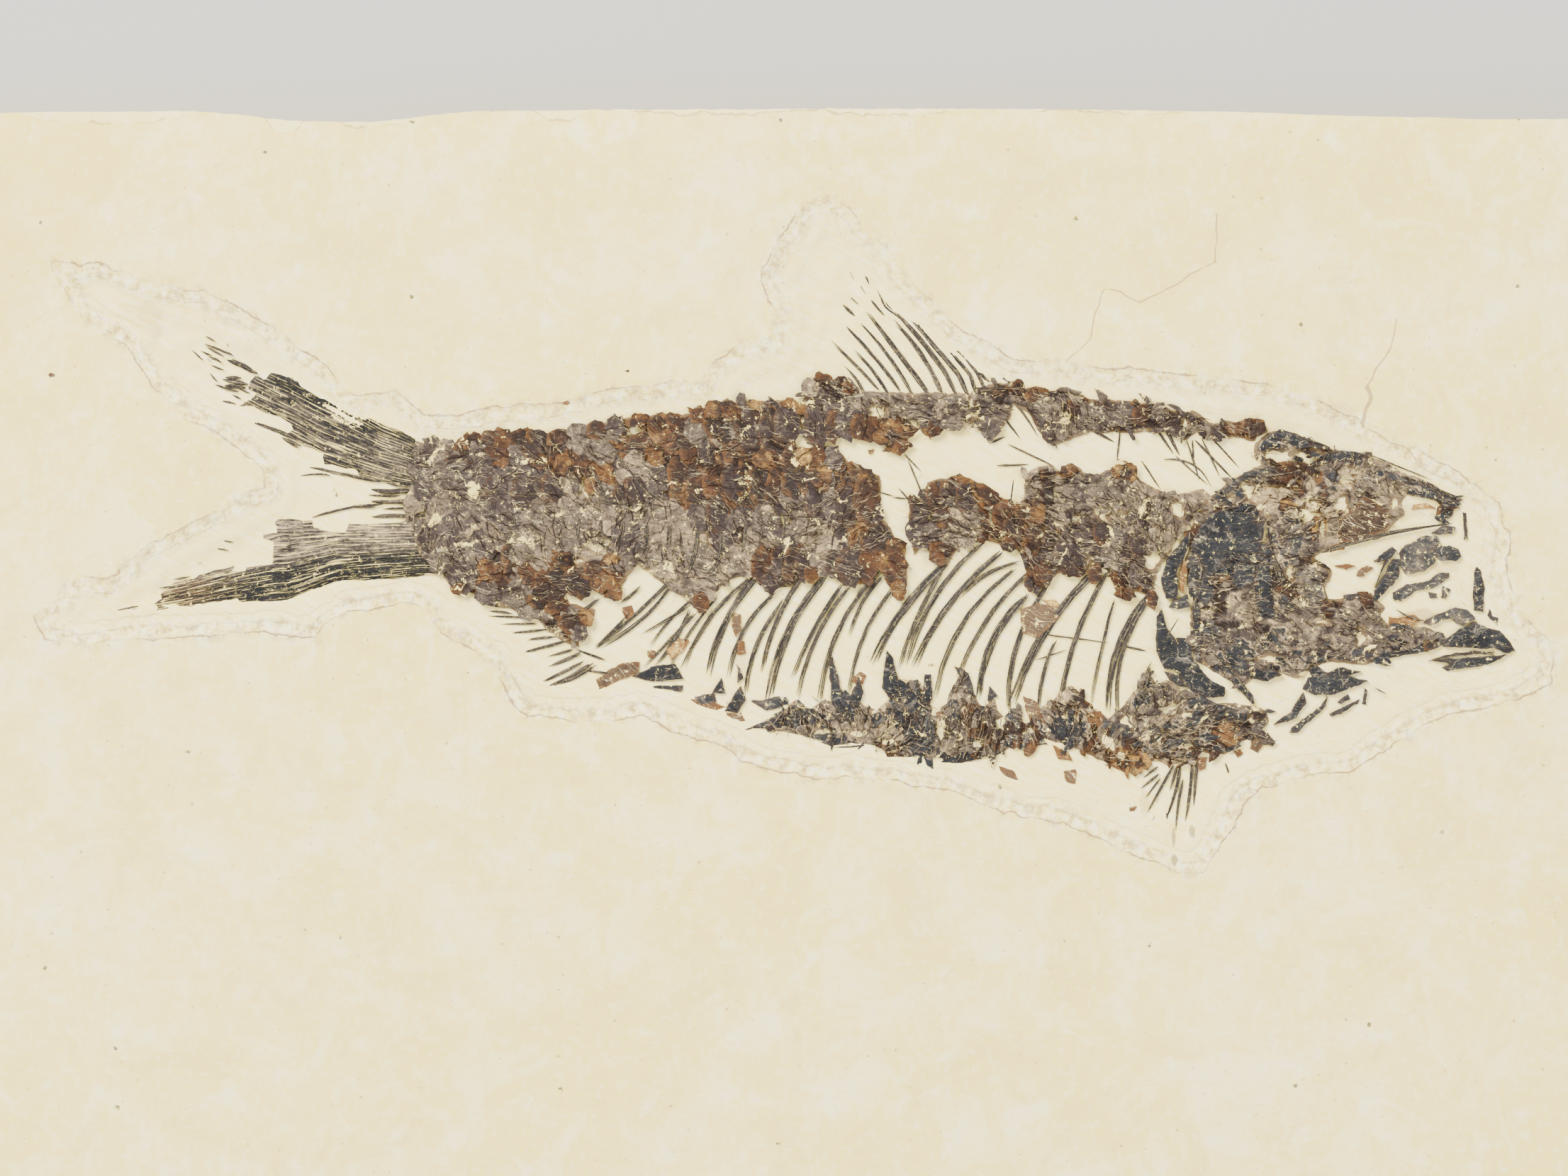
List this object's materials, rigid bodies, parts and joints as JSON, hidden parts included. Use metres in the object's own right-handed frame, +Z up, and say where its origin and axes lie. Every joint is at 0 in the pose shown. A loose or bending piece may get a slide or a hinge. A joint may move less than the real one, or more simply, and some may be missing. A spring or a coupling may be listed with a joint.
{
  "type": "fossil fish slab",
  "caption": "Flat slab of pale limestone with the flattened skeleton and scales of a fossil fish in a prepared trench.",
  "frame": {"origin": "middle of the slab's flat underside, on the surface that it rests on", "axes": "+X from the tail to the snout, +Y from the belly to the back, +Z up out of the face that shows the fish"},
  "size_m": [0.15, 0.104, 0.0084],
  "materials": {
    "limestone": "matt split face with fine specks, hairline cracks and scraped trench",
    "scales": "thin dark brown to amber mineralised scales with worn grey patches, satin",
    "fin_rays": "fibrous grey-brown mineralised rays, matt",
    "rib_bone": "dark grey-brown fossil bone with pale streaks, satin",
    "head_bone": "mottled grey-brown fossil bone with fine pale cracks",
    "slate_bone": "blue-black fossil bone with fine pale cracks, satin"
  },
  "bodies": {
    "root": {"limestone_slab": "limestone", "trunk_scales": "scales", "shoulder_scales": "scales", "nape_scales": "scales", "tail_fin_upper": "fin_rays", "tail_fin_lower": "fin_rays", "dorsal_fin": "fin_rays", "anal_fin": "fin_rays", "pelvic_fin": "fin_rays", "pectoral_fin": "fin_rays", "backbone_and_ribs": "rib_bone", "skull": "head_bone", "gill_cover": "slate_bone", "shoulder_girdle": "slate_bone", "lower_jaw": "slate_bone", "throat_bones": "slate_bone", "belly_scutes": "slate_bone"}
  },
  "joints": []
}
